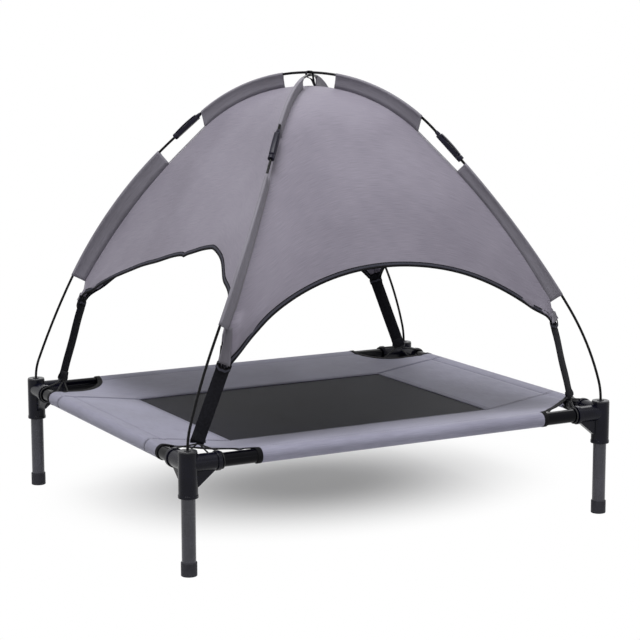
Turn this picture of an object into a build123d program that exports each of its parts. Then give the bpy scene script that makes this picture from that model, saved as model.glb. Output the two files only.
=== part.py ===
from build123d import *
import math
import os

os.makedirs("parts", exist_ok=True)

# Raised dog bed: a steel frame on four legs, a fabric cover with a mesh middle, and a shade
# canopy on two crossing poles. Millimetres, +Z up. The origin is on the floor under the
# middle of the bed, +X runs along the long side, and the front faces -Y.

# ---- Driving dimensions ----

# Frame
leg_span_x = 880.0         # between leg axes along the long side
leg_span_y = 742.0         # between leg axes along the short side
rail_height = 200.0        # rail axis above the floor
tube_diameter = 25.4       # legs and rails
tube_wall = 1.2
tube_clearance = 0.1       # radial, between a tube and its plastic socket

# Corner connectors
socket_wall = 4.5          # plastic around the leg
socket_drop = 60.0         # from the rail axis down to the lower end of the socket
socket_rise = 21.0         # from the rail axis up to the seat of the cap
leg_insert = 43.0          # length of leg inside the socket
leg_gap = 0.3              # between the leg's top and the socket's stop
arm_wall = 2.8             # plastic around a rail
arm_reach = 60.0           # from the leg axis to the end of an arm
rail_inset = 20.0          # from the leg axis to the end of a rail
collar_width = 8.0         # bead at the end of an arm
collar_lip = 2.2
hem_bead_height = 6.0      # bead at the lower end of the socket
hem_bead_lip = 0.8
gusset_thickness = 12.0
gusset_reach = 50.0        # from the leg axis to the gusset's outer end
gusset_drop = 42.0         # from the rail axis to the gusset's lower end
edge_radius = 1.0

# Pole caps
cap_thickness = 4.0
cap_inset = 0.6            # how much smaller the cap is than the socket
cap_plug_diameter = 20.0
cap_plug_depth = 4.0
boss_diameter = 13.0
boss_height = 1.2

# Feet
foot_height = 25.0
foot_wall = 1.7
foot_floor = 3.0
foot_clearance = 0.05
foot_edge = 1.2

# Cover
sleeve_gap = 0.3           # between a rail and the fabric round it
fabric = 1.0               # fabric thickness
sleeve_end_x = 131.0       # from the leg axis to the cover's taped edge, along a long rail
sleeve_end_y = 100.0       # the same along a short rail
border_width = 160.0       # from the rail axis to the mesh
cover_sag = 22.0           # how far the mesh lies below the rails' tops
tape_width = 10.0          # round the corner cut-outs and the sleeves' ends
tape_lift = 0.7            # how far the tape stands off the fabric

# Poles
pole_diameter = 5.0
pole_clearance = 0.1       # radial, in the socket
cap_hole_clearance = 0.4   # radial, in the cap
pole_insert = 32.0         # from the cap's top to the pole's tip
tip_gap = 1.0
apex_height = 851.0        # axis of the upper pole at the crown
pole_crossing_gap = 0.2
crown_radius = 356.0
crown_turn = 47.8          # angle of a crown pole from +X, in degrees
crown_reach = 270.0        # arc length from the crown to a straight joint
crown_side = 90.0          # the crown's direction from the centre of its arc, in degrees
upper_shift = 18.0         # the upper crown pole sits this far towards the front right
lower_shift = 9.0          # the lower crown pole sits this far towards the back right
knee_inset = 61.5          # where the lower poles bend: from the leg axis along the diagonal
knee_bow = 25.0            # sideways from the diagonal
knee_height = 406.0
ankle_share = 0.25         # share of the last bend that is close to the cap

# Folding joints
joint_length = 72.0
joint_width = 10.0
joint_depth = 11.0
joint_wall = 2.2
joint_gap = 1.0            # half of the gap between the two pole ends
joint_edge = 1.5
rivet_diameter = 2.4
rivet_inset = 9.0          # from a joint's end to its rivet
rivet_head = 0.6           # how far a rivet stands out

# Canopy
strip_width = 26.0         # from the pole's axis to the seam of the canopy panels
strip_thickness = 1.0
pole_sleeve_gap = 0.4
upper_strip_start = 55.0   # along the pole, from the crown
upper_strip_end = 246.0
lower_strip_start = 370.0
lower_strip_inset = 31.0   # along the pole, from the strip's end to the knee
seam_gap = 0.4             # half of the gap between neighbouring panels
tab_inset_x = 89.0         # canopy corner, where a strap is sewn on, from the leg axis
tab_inset_y = 30.0
tab_height = 369.0
tab_overlap = 3.0          # how far the panels reach below a strap's upper end
tab_flap = 15.0            # cloth left beside a seam, between the arch and the tab
canopy_low = 340.0         # nothing of the panels reaches below this height
arch_center = 195.0        # height of the centre of the elliptical arches
front_arch_top = 504.4     # of the front and back arches
right_arch_top = 516.0
left_arch_top = 536.0
left_arch_peak_y = -133.0  # the left arch is pulled towards the front
left_arch_crest = 20.0     # how far it runs level on each side of its peak
left_arch_turn = 498.0     # how high it stands straight up beside the front corner
left_arch_shoulder = 429.0 # how high it stays at the back, and how far out it bulges there
left_arch_bulge = 14.0
binding_width = 10.0

# Straps and loops
strap_width = 25.0
strap_thickness = 1.6
strap_turn = 30.0          # a strap's width from the long side, in degrees
strap_foot_inset_x = 41.0  # from the leg axis
strap_foot_inset_y = 46.0
strap_foot_height = 229.0
bar_height = 5.0
bar_depth = 4.0
bar_overhang = 1.5
bar_edge = 1.3
loop_cord = 3.0
loop_gap = 0.3
loop_offset = 4.0          # from an arm's end to the loop round the rail

# Crown tie
tie_width = 15.0
tie_depth = 8.0
tie_wall = 1.2

# ---- Derived values ----

tube_radius = tube_diameter / 2
socket_bore = tube_radius + tube_clearance
socket_radius = socket_bore + socket_wall
socket_bottom = rail_height - socket_drop
cap_seat = rail_height + socket_rise
cap_top = cap_seat + cap_thickness
arm_radius = socket_bore + arm_wall
pole_radius = pole_diameter / 2
tip_height = cap_top - pole_insert
cavity = pole_radius + pole_sleeve_gap

cover_bore = tube_radius + sleeve_gap
cover_radius = cover_bore + fabric
cover_top = rail_height + cover_radius
mesh_top = cover_top - cover_sag
cut_base = mesh_top - cover_sag
rail_x = leg_span_x / 2
rail_y = leg_span_y / 2
mesh_half_x = rail_x - border_width
mesh_half_y = rail_y - border_width
tab = Vector(rail_x - tab_inset_x, rail_y - tab_inset_y, tab_height)
strap_foot = Vector(rail_x - strap_foot_inset_x, rail_y - strap_foot_inset_y, strap_foot_height)
tab_end = tab_height - tab_overlap

CORNERS = {
    "front_left": (-1, -1),
    "front_right": (1, -1),
    "back_left": (-1, 1),
    "back_right": (1, 1),
}
SIDES = ("front", "back", "left", "right")


def save(shape, name):
    shape.label = name
    export_step(shape, f"parts/{name}.step")


def to_quadrant(shape, sx, sy):
    """Mirror a piece of the back right quadrant into another one."""
    if sx < 0:
        shape = shape.mirror(Plane.YZ)
    if sy < 0:
        shape = shape.mirror(Plane.XZ)
    return shape


# ---- Corner connector, with the leg axis at the origin and the arms towards -X and -Y ----

def arm_plane(along, distance):
    """Plane across an arm or a rail, looking inwards along it."""
    return Plane(origin=along * distance + Vector(0, 0, rail_height), z_dir=along)


def rounded_disc(plane, radius, length, edge):
    with BuildPart() as disc:
        with BuildSketch(plane):
            Circle(radius)
        extrude(amount=length)
        fillet(disc.edges().filter_by(GeomType.CIRCLE), edge)
    return disc.part


toward_middle = (Vector(-1, 0, 0), Vector(0, -1, 0))
socket_bead = rounded_disc(
    Plane.XY.offset(socket_bottom), socket_radius + hem_bead_lip, hem_bead_height, edge_radius
)
collars = [
    rounded_disc(
        arm_plane(along, arm_reach - collar_width), arm_radius + collar_lip, collar_width, edge_radius
    )
    for along in toward_middle
]

with BuildPart() as connector:
    with BuildSketch(Plane.XY.offset(socket_bottom)):
        Circle(socket_radius)
    extrude(amount=socket_drop + socket_rise)
    for along in toward_middle:
        with BuildSketch(arm_plane(along, 0)):
            Circle(arm_radius)
        extrude(amount=arm_reach - collar_width / 2)
        web_plane = Plane(origin=(0, 0, rail_height), x_dir=along, z_dir=along.cross(Vector(0, 0, 1)))
        with BuildSketch(web_plane):
            with BuildLine():
                Polyline(
                    (0, 0),
                    (gusset_reach, 0),
                    (gusset_reach, -arm_radius),
                    (socket_radius, -gusset_drop),
                    (0, -gusset_drop),
                    close=True,
                )
            make_face()
        extrude(amount=gusset_thickness / 2, both=True)
    add([socket_bead, *collars])
    # Bores for the leg, the two rails and the pole
    with BuildSketch(Plane.XY.offset(socket_bottom)):
        Circle(socket_bore)
    extrude(amount=leg_insert + leg_gap, mode=Mode.SUBTRACT)
    for along in toward_middle:
        with BuildSketch(arm_plane(along, rail_inset)):
            Circle(socket_bore)
        extrude(amount=arm_reach, mode=Mode.SUBTRACT)
    with BuildSketch(Plane.XY.offset(tip_height - tip_gap)):
        Circle(pole_radius + pole_clearance)
    extrude(amount=pole_insert, mode=Mode.SUBTRACT)
    with BuildSketch(Plane.XY.offset(cap_seat - cap_plug_depth)):
        Circle(cap_plug_diameter / 2)
    extrude(amount=cap_plug_depth, mode=Mode.SUBTRACT)

with BuildPart() as cap:
    with BuildSketch(Plane.XY.offset(cap_seat - cap_plug_depth)):
        Circle(cap_plug_diameter / 2 - tube_clearance)
    extrude(amount=cap_plug_depth)
    with BuildSketch(Plane.XY.offset(cap_seat)):
        Circle(socket_radius - cap_inset)
    extrude(amount=cap_thickness - boss_height)
    fillet(cap.faces().sort_by(Axis.Z)[-1].edges(), edge_radius)
    with BuildSketch(Plane.XY.offset(cap_seat)):
        Circle(boss_diameter / 2)
    extrude(amount=cap_thickness)
    with BuildSketch(Plane.XY.offset(cap_seat - cap_plug_depth)):
        Circle(pole_radius + cap_hole_clearance)
    extrude(amount=cap_thickness + cap_plug_depth, mode=Mode.SUBTRACT)

with BuildPart() as leg:
    with BuildSketch(Plane.XY.offset(foot_floor)):
        Circle(tube_radius)
        Circle(tube_radius - tube_wall, mode=Mode.SUBTRACT)
    extrude(amount=socket_bottom + leg_insert - foot_floor)

with BuildPart() as foot:
    with BuildSketch():
        Circle(tube_radius + foot_clearance + foot_wall)
    extrude(amount=foot_height)
    fillet(foot.edges().filter_by(GeomType.CIRCLE), foot_edge)
    with BuildSketch(Plane.XY.offset(foot_floor)):
        Circle(tube_radius + foot_clearance)
    extrude(amount=foot_height, mode=Mode.SUBTRACT)

for corner, (sx, sy) in CORNERS.items():
    at_leg = Pos(sx * rail_x, sy * rail_y, 0)
    save(at_leg * to_quadrant(connector.part, sx, sy), f"connector_{corner}")
    save(at_leg * cap.part, f"socket_cap_{corner}")
    save(at_leg * leg.part, f"leg_{corner}")
    save(at_leg * foot.part, f"foot_{corner}")

# ---- Rails ----

for side, sign in (("front", -1), ("back", 1)):
    with BuildPart() as rail:
        with BuildSketch(Plane(origin=(0, sign * rail_y, rail_height), z_dir=(1, 0, 0))):
            Circle(tube_radius)
            Circle(tube_radius - tube_wall, mode=Mode.SUBTRACT)
        extrude(amount=rail_x - rail_inset, both=True)
    save(rail.part, f"rail_{side}")
for side, sign in (("left", -1), ("right", 1)):
    with BuildPart() as rail:
        with BuildSketch(Plane(origin=(sign * rail_x, 0, rail_height), z_dir=(0, 1, 0))):
            Circle(tube_radius)
            Circle(tube_radius - tube_wall, mode=Mode.SUBTRACT)
        extrude(amount=rail_y - rail_inset, both=True)
    save(rail.part, f"rail_{side}")

# ---- Cover: the sheet slopes from the tops of the rails down to the mesh ----

def sheet(lift, thickness):
    """The whole cover's sheet: four slopes round a flat middle."""
    low = mesh_top + lift
    with BuildPart() as body:
        with BuildSketch(Plane.XY.offset(low - thickness)):
            Rectangle(2 * mesh_half_x, 2 * mesh_half_y)
        with BuildSketch(Plane.XY.offset(low - thickness + cover_sag)):
            Rectangle(leg_span_x, leg_span_y)
        loft()
        with BuildSketch(Plane.XY.offset(low)):
            Rectangle(2 * mesh_half_x, 2 * mesh_half_y)
        with BuildSketch(Plane.XY.offset(low + cover_sag)):
            Rectangle(leg_span_x, leg_span_y)
        loft(mode=Mode.SUBTRACT)
    return body.part


def corner_cut(sx, sy, curved, grow):
    """The cut-out round a leg: a quarter ellipse, or a straight cut across the corner."""
    with BuildSketch(Plane.XY.offset(cut_base)) as cut:
        with Locations((sx * rail_x, sy * rail_y)):
            if curved:
                Ellipse(sleeve_end_x + grow, sleeve_end_y + grow)
            else:
                slant = math.hypot(sleeve_end_x, sleeve_end_y)
                reach_x = sleeve_end_x + grow * slant / sleeve_end_y
                reach_y = sleeve_end_y + grow * slant / sleeve_end_x
                Polygon((reach_x, 0), (0, reach_y), (-reach_x, 0), (0, -reach_y), align=None)
    return cut.sketch


cover_sheet = sheet(0, fabric)
cut_depth = cover_top + cover_sag - cut_base  # up through the whole cover
borders = {}

for side in SIDES:
    sign = -1 if side in ("front", "left") else 1
    along_x = side in ("front", "back")
    if along_x:
        strip_center = (0, sign * (mesh_half_y + border_width / 2))
        strip_size = (leg_span_x, border_width)
        rail_plane = Plane(origin=(0, sign * rail_y, rail_height), z_dir=(1, 0, 0))
        sleeve_half = rail_x - sleeve_end_x - tape_width
    else:
        strip_center = (sign * (mesh_half_x + border_width / 2), 0)
        strip_size = (border_width, 2 * mesh_half_y)
        rail_plane = Plane(origin=(sign * rail_x, 0, rail_height), z_dir=(0, 1, 0))
        sleeve_half = rail_y - sleeve_end_y - tape_width
    with BuildPart() as border:
        add(cover_sheet)
        with BuildSketch(Plane.XY.offset(cut_base)):
            with Locations(strip_center):
                Rectangle(*strip_size)
        extrude(amount=cut_depth, mode=Mode.INTERSECT)
        for sx, sy in CORNERS.values():
            extrude(corner_cut(sx, sy, sy > 0, tape_width), amount=cut_depth, mode=Mode.SUBTRACT)
        if along_x:
            with BuildSketch(
                Plane(origin=(-rail_x, 0, rail_height), z_dir=(0, 1, 0)),
                Plane(origin=(rail_x, 0, rail_height), z_dir=(0, 1, 0)),
            ):
                Circle(cover_radius)
            extrude(amount=rail_y, both=True, mode=Mode.SUBTRACT)
        with BuildSketch(rail_plane):
            Circle(cover_radius)
        extrude(amount=sleeve_half, both=True)
        with BuildSketch(rail_plane):
            Circle(cover_bore)
        extrude(amount=sleeve_half, both=True, mode=Mode.SUBTRACT)
    save(border.part, f"cover_border_{side}")
    borders[side] = border.part

with BuildPart() as mesh:
    with BuildSketch(Plane.XY.offset(mesh_top - fabric)):
        Rectangle(2 * mesh_half_x, 2 * mesh_half_y)
    extrude(amount=fabric)
save(mesh.part, "mesh_panel")

# ---- Tape round each corner cut-out and the two sleeve ends beside it ----

tape_sheet = sheet(tape_lift, fabric + 2 * tape_lift)


def corner_binding(curved, long_border, short_border):
    """The tape of the back right corner, with a curved or a straight cut-out."""
    long_sleeve_end = Plane(origin=(rail_x - sleeve_end_x, rail_y, rail_height), z_dir=(-1, 0, 0))
    short_sleeve_end = Plane(origin=(rail_x, rail_y - sleeve_end_y, rail_height), z_dir=(0, -1, 0))
    with BuildPart() as binding:
        add(tape_sheet)
        extrude(corner_cut(1, 1, curved, tape_width), amount=cut_depth, mode=Mode.INTERSECT)
        extrude(corner_cut(1, 1, curved, 0), amount=cut_depth, mode=Mode.SUBTRACT)
        with BuildSketch(long_sleeve_end, short_sleeve_end):
            Circle(cover_radius + tape_lift)
        extrude(amount=tape_width)
        with BuildSketch(long_sleeve_end, short_sleeve_end):
            Circle(cover_bore)
        extrude(amount=2 * tape_width, both=True, mode=Mode.SUBTRACT)
        add([long_border, short_border], mode=Mode.SUBTRACT)
    return binding.part


back_binding = corner_binding(True, borders["back"], borders["right"])
front_binding = corner_binding(False, borders["front"].mirror(Plane.XZ), borders["right"])
for corner, (sx, sy) in CORNERS.items():
    binding = back_binding if sy > 0 else front_binding
    save(to_quadrant(binding, sx, sy), f"corner_binding_{corner}")

# ---- Elastic loops: a ring round each rail beside its arm, joined at the strap's bar ----

loop_radius = tube_radius + loop_gap + loop_cord / 2
loop_distance = arm_reach + loop_offset + loop_cord / 2
loop_tip = strap_foot - Vector(0, 0, bar_height + loop_gap + loop_cord / 2)
loop_lean = loop_radius * math.sqrt(0.5)
ring_centers = (
    Vector(rail_x - loop_distance, rail_y, rail_height),
    Vector(rail_x, rail_y - loop_distance, rail_height),
)

with BuildPart() as loop:
    for center, along in zip(ring_centers, (Vector(1, 0, 0), Vector(0, 1, 0))):
        outward = Vector(0, 1, 0) if along.X else Vector(1, 0, 0)
        with BuildSketch(Plane(origin=center, x_dir=outward, z_dir=along.cross(outward) * -1)):
            with Locations((loop_radius, 0)):
                Circle(loop_cord / 2)
        revolve(axis=Axis(center, along))
        start = center - outward * loop_lean + Vector(0, 0, loop_lean)
        with BuildSketch(Plane(origin=start, z_dir=loop_tip - start)):
            Circle(loop_cord / 2)
        extrude(amount=(loop_tip - start).length)
    with Locations(loop_tip):
        Sphere(loop_cord / 2)

for corner, (sx, sy) in CORNERS.items():
    save(to_quadrant(loop.part, sx, sy), f"elastic_loop_{corner}")

# ---- Canopy poles: a level crown arc, a straight joint, and a lower pole that bends down ----

UP = Vector(0, 0, 1)
outward = Vector(math.cos(math.radians(crown_turn)), math.sin(math.radians(crown_turn)), 0)
along_diagonal = Vector(rail_x, rail_y, 0).normalized()
leg_axis = Vector(rail_x, rail_y, 0)
knee = leg_axis - along_diagonal * knee_inset + UP.cross(along_diagonal) * knee_bow + UP * knee_height
socket_entry = Vector(rail_x, rail_y, cap_top)
upper_apex = apex_height
lower_apex = apex_height - pole_diameter - pole_crossing_gap
# Height of the crown and length of its arc towards each corner
ARCHES = {
    "front_left": (lower_apex, crown_reach - lower_shift),
    "back_right": (lower_apex, crown_reach + lower_shift),
    "back_left": (upper_apex, crown_reach - upper_shift),
    "front_right": (upper_apex, crown_reach + upper_shift),
}


def crown_station(apex, length):
    """Point and heading on a crown pole, at a distance from the crown."""
    turn = length / crown_radius
    point = outward * crown_radius * math.sin(turn) + UP * (apex - crown_radius * (1 - math.cos(turn)))
    return point, outward * math.cos(turn) - UP * math.sin(turn)


def inward(heading):
    """Direction square to the pole, down and towards the inside of the canopy."""
    return heading.cross(heading.cross(UP)).normalized()


def meeting_point(start, heading, end, end_heading, share):
    """Where two tangent arcs meet that join two points in two given directions."""
    span = end - start
    both = heading + end_heading * share
    a = both.dot(both) - (1 + share) ** 2
    b = -2 * span.dot(both)
    reach = (-b - math.sqrt(b * b - 4 * a * span.dot(span))) / (2 * a)
    first = start + heading * reach
    last = end - end_heading * (share * reach)
    return first + (last - first) / (1 + share)


def lower_pole_line(apex, reach):
    """Centre line of a lower pole, from inside its joint down to its tip."""
    crown_end, heading = crown_station(apex, reach)
    top = crown_end + heading * joint_length
    with BuildLine() as line:
        Line(crown_end + heading * (joint_length / 2 + joint_gap), top)
        upper = TangentArc(top, knee, tangent=heading)
        ankle = meeting_point(knee, upper % 1, socket_entry, -UP, ankle_share)
        middle = TangentArc(knee, ankle, tangent=upper % 1)
        TangentArc(ankle, socket_entry, tangent=middle % 1)
        Line(socket_entry, socket_entry - UP * pole_insert)
    return line, upper


def rivet_planes(apex, reach):
    """Planes across the two rivets of a folding joint."""
    crown_end, heading = crown_station(apex, reach)
    side = heading.cross(inward(heading))
    for distance in (rivet_inset, joint_length - rivet_inset):
        yield Plane(origin=crown_end + heading * distance, z_dir=side)


def rivet_holes(apex, reach):
    with BuildPart() as holes:
        for plane in rivet_planes(apex, reach):
            with BuildSketch(plane):
                Circle(rivet_diameter / 2)
            extrude(amount=joint_width, both=True)
    return holes.part


rivets = []
for corner, (sx, sy) in CORNERS.items():
    apex, reach = ARCHES[corner]
    crown_end, heading = crown_station(apex, reach)
    holes = rivet_holes(apex, reach)
    line, upper = lower_pole_line(apex, reach)
    with BuildPart() as lower_pole:
        with BuildSketch(Plane(origin=line.line @ 0, z_dir=heading)):
            Circle(pole_radius)
        sweep(path=line.line)
        add(holes, mode=Mode.SUBTRACT)
    save(to_quadrant(lower_pole.part, sx, sy), f"pole_lower_{corner}")

    with BuildPart() as channel:
        with BuildSketch(Plane(origin=crown_end, x_dir=inward(heading), z_dir=heading)):
            with Locations((joint_depth / 2 - cavity - joint_wall, 0)):
                RectangleRounded(joint_depth, joint_width, joint_edge)
            with Locations((joint_depth - cavity, 0)):
                Rectangle(2 * joint_depth, 2 * cavity, mode=Mode.SUBTRACT)
        extrude(amount=joint_length)
        add(holes, mode=Mode.SUBTRACT)
    save(to_quadrant(channel.part, sx, sy), f"folding_joint_{corner}")

    with BuildPart() as joint_rivets:
        for plane in rivet_planes(apex, reach):
            with BuildSketch(plane):
                Circle(rivet_diameter / 2)
            extrude(amount=joint_width / 2, both=True)
            for face in (1, -1):
                with BuildSketch(plane.offset(face * joint_width / 2)):
                    Circle(rivet_diameter)
                extrude(amount=face * rivet_head)
    rivets.append(to_quadrant(joint_rivets.part, sx, sy))

joint_rivets = Compound(children=rivets)
save(joint_rivets, "joint_rivets")

for name, near, far in (
    ("pole_crown_upper", "back_left", "front_right"),
    ("pole_crown_lower", "front_left", "back_right"),
):
    apex, near_reach = ARCHES[near]
    apex, far_reach = ARCHES[far]
    sy = CORNERS[far][1]
    stub = joint_length / 2 - joint_gap
    crown_plane = Plane(origin=(0, 0, apex), x_dir=outward, z_dir=outward.cross(UP))
    with BuildLine(crown_plane) as crown_line:
        arc = CenterArc(
            (0, -crown_radius),
            crown_radius,
            crown_side + math.degrees(near_reach / crown_radius),
            -math.degrees((near_reach + far_reach) / crown_radius),
        )
    near_end = arc @ 0 - (arc % 0) * stub
    far_end = arc @ 1 + (arc % 1) * stub
    with BuildLine() as crown_line:
        Line(near_end, arc @ 0)
        add(arc)
        Line(arc @ 1, far_end)
    with BuildPart() as crown:
        with BuildSketch(Plane(origin=near_end, z_dir=arc % 0)):
            Circle(pole_radius)
        sweep(path=crown_line.line)
        add(rivet_holes(apex, far_reach), mode=Mode.SUBTRACT)
        add(Rot(0, 0, 180) * rivet_holes(apex, near_reach), mode=Mode.SUBTRACT)
    save(to_quadrant(crown.part, 1, sy), name)

# ---- Canopy panels: each is a curved strip, cut along the seams and by its arch ----

panel_apex = upper_apex
panel_pole = lower_pole_line(panel_apex, crown_reach)[1]
seam_stations = [crown_station(panel_apex, crown_reach * share) for share in (0, 1 / 3, 2 / 3, 1)]
for share in (0, 1 / 3, 2 / 3, 1 - lower_strip_inset / panel_pole.length):
    seam_stations.append((panel_pole @ share, panel_pole % share))


def seam_points(depth):
    """Points along the seam of the back right corner, from the crown to the tab."""
    points = [point + inward(heading) * depth for point, heading in seam_stations]
    return [*points, tab + inward(seam_stations[-1][1]) * (depth - strip_width)]


def panel_band(side, outer, inner):
    """A panel's curved strip between two depths below the poles, cut along its two seams."""
    along_x = side in ("front", "back")
    sign = -1 if side in ("front", "left") else 1
    outer_line, inner_line = [
        [(sign * (p.Y if along_x else p.X), p.Z) for p in seam_points(depth)] for depth in (outer, inner)
    ]
    seam = [(p.X, p.Y) for p in seam_points(strip_width)]
    far = max(leg_span_x, leg_span_y)
    if along_x:
        seams = [[(side_x * x, sign * (y + seam_gap)) for x, y in seam] for side_x in (-1, 1)]
        far_corners = [(-tab.X, sign * far), (tab.X, sign * far)]
    else:
        seams = [[(sign * (x + seam_gap), side_y * y) for x, y in seam] for side_y in (-1, 1)]
        far_corners = [(sign * far, -tab.Y), (sign * far, tab.Y)]
    with BuildPart() as band:
        with BuildSketch(Plane.YZ if along_x else Plane.XZ):
            with BuildLine():
                Spline(*outer_line)
                Line(outer_line[-1], inner_line[-1])
                Spline(*inner_line)
                Line(inner_line[0], outer_line[0])
            make_face()
        extrude(amount=far, both=True)
        with BuildSketch(Plane.XY.offset(canopy_low)):
            with BuildLine():
                Spline(*seams[0])
                Spline(*seams[1])
                Polyline(seams[0][-1], *far_corners, seams[1][-1])
            make_face()
        extrude(amount=apex_height - canopy_low, mode=Mode.INTERSECT)
    return band.part


def arch_half(end, top):
    """Half width of an elliptical arch that passes a tab at this distance from the middle."""
    share = (tab_end - arch_center) / (top - arch_center)
    return end / math.sqrt(1 - share**2)


def arch_opening(side, grow):
    """The opening below a panel's arch, seen square to its side of the bed."""
    with BuildSketch() as opening:
        if side == "left":
            end = tab.Y - tab_flap + grow
            top = left_arch_top + grow
            with BuildLine():
                Bezier(
                    (-end, tab_end),
                    (-end, left_arch_turn),
                    (left_arch_peak_y - left_arch_crest, top),
                    (left_arch_peak_y, top),
                )
                Bezier(
                    (left_arch_peak_y, top),
                    (left_arch_peak_y + left_arch_crest, top),
                    (end + left_arch_bulge, left_arch_shoulder + grow),
                    (end, tab_end),
                )
                Line((end, tab_end), (-end, tab_end))
            make_face()
        else:
            end = (tab.Y if side == "right" else tab.X) - tab_flap
            top = right_arch_top if side == "right" else front_arch_top
            with Locations((0, arch_center)):
                Ellipse(arch_half(end, top) + grow, top - arch_center + grow)
        # Nothing of the canopy hangs below the tabs
        with Locations((0, canopy_low)):
            Rectangle(2 * leg_span_x, 2 * (tab_end - canopy_low))
    return opening.sketch


panels = {}
hem_bindings = []
for side in SIDES:
    arch_plane = Plane.XZ if side in ("front", "back") else Plane.YZ
    with BuildPart() as panel:
        add(panel_band(side, strip_width, strip_width + fabric))
        with BuildSketch(arch_plane):
            add(arch_opening(side, binding_width))
        extrude(amount=leg_span_x, both=True, mode=Mode.SUBTRACT)
    save(panel.part, f"canopy_panel_{side}")
    panels[side] = panel.part
    with BuildPart() as hem:
        add(panel_band(side, strip_width - tape_lift, strip_width + fabric + tape_lift))
        with BuildSketch(arch_plane):
            add(arch_opening(side, binding_width))
        extrude(amount=leg_span_x, both=True, mode=Mode.INTERSECT)
        with BuildSketch(arch_plane):
            add(arch_opening(side, 0))
        extrude(amount=leg_span_x, both=True, mode=Mode.SUBTRACT)
    hem_bindings.append(hem.part)
save(Compound(children=hem_bindings), "hem_binding")

# ---- Sleeve strips round the poles, with their seam edge on the panels ----

for corner, (sx, sy) in CORNERS.items():
    apex, reach = ARCHES[corner]
    upper = lower_pole_line(apex, reach)[1]
    start = lower_strip_start - reach - joint_length
    with BuildLine(Plane(origin=(0, 0, apex), x_dir=outward, z_dir=outward.cross(UP))) as crown_line:
        CenterArc(
            (0, -crown_radius),
            crown_radius,
            crown_side - math.degrees(upper_strip_start / crown_radius),
            -math.degrees((upper_strip_end - upper_strip_start) / crown_radius),
        )
    upper_edge = crown_line.edges()[0]
    lower_edge = upper.trim_to_length(start / upper.length, upper.length - lower_strip_inset - start)
    with BuildPart() as sleeve:
        for edge in (upper_edge, lower_edge):
            with BuildSketch(Plane(origin=edge @ 0, x_dir=inward(edge % 0), z_dir=edge % 0)):
                Circle(cavity + strip_thickness)
                with Locations((strip_width / 2, 0)):
                    Rectangle(strip_width, strip_thickness)
                Circle(cavity, mode=Mode.SUBTRACT)
            sweep(path=edge)
        add([panels["back"], panels["right"]], mode=Mode.SUBTRACT)
    save(to_quadrant(sleeve.part, sx, sy), f"canopy_sleeve_{corner}")

# ---- Straps from the canopy's corners down to their bars ----

strap_run = tab - strap_foot
strap_across = Vector(1, 0, 0).rotate(Axis.Z, -strap_turn)

with BuildPart() as strap:
    with BuildSketch(Plane(origin=strap_foot, x_dir=strap_across, z_dir=strap_run)):
        Rectangle(strap_width, strap_thickness)
    extrude(amount=strap_run.length)

with BuildPart() as bar:
    with BuildSketch(Plane(origin=strap_foot - UP * bar_height, x_dir=strap_across, z_dir=UP)):
        RectangleRounded(strap_width + 2 * bar_overhang, bar_depth, bar_edge)
    extrude(amount=bar_height)
    add(strap.part, mode=Mode.SUBTRACT)

for corner, (sx, sy) in CORNERS.items():
    save(to_quadrant(strap.part, sx, sy), f"strap_{corner}")
bars = [to_quadrant(bar.part, sx, sy) for sx, sy in CORNERS.values()]
save(Compound(children=bars), "strap_bars")

# ---- Tie round the crossing poles, sewn to the canopy's top ----

tie_low = lower_apex - pole_radius - pole_sleeve_gap
tie_high = upper_apex + pole_radius + pole_sleeve_gap
canopy_top = panel_apex - strip_width

with BuildPart() as tie:
    with BuildSketch(Plane.XZ):
        with Locations((0, (tie_low + tie_high) / 2)):
            RectangleRounded(tie_width + 2 * tie_wall, tie_high - tie_low + 2 * tie_wall, tie_wall)
            Rectangle(tie_width, tie_high - tie_low, mode=Mode.SUBTRACT)
        with Locations((0, (canopy_top + tie_low - tie_wall) / 2)):
            Rectangle(tie_wall, tie_low - tie_wall - canopy_top)
    extrude(amount=tie_depth / 2, both=True)
save(tie.part, "crown_tie")
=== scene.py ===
from math import acos, atan2, cos, exp, hypot, pi, radians, sin, sqrt

import bmesh
import bpy
from mathutils import Matrix, Vector, noise


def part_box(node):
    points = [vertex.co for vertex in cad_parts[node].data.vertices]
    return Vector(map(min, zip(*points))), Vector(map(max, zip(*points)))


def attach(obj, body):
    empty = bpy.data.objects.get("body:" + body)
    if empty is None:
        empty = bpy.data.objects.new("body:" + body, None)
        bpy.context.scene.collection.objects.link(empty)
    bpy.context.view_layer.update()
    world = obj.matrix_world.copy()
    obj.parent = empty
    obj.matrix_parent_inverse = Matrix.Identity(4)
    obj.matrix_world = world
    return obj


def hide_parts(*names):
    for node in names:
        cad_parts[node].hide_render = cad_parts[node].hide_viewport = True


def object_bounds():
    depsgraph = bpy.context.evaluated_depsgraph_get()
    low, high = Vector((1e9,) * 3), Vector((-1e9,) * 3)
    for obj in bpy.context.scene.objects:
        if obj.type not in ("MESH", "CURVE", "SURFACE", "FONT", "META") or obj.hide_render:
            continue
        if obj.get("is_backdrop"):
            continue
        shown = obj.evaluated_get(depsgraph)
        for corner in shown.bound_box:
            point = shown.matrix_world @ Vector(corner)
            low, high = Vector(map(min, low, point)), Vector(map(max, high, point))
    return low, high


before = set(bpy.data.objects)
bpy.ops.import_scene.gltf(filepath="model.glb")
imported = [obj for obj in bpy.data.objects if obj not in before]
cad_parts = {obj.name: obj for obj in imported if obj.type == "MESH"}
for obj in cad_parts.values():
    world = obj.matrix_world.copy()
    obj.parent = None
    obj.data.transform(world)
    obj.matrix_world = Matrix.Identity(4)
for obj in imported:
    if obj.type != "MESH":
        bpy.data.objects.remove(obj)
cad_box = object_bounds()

bpy.ops.object.select_all(action="DESELECT")

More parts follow.
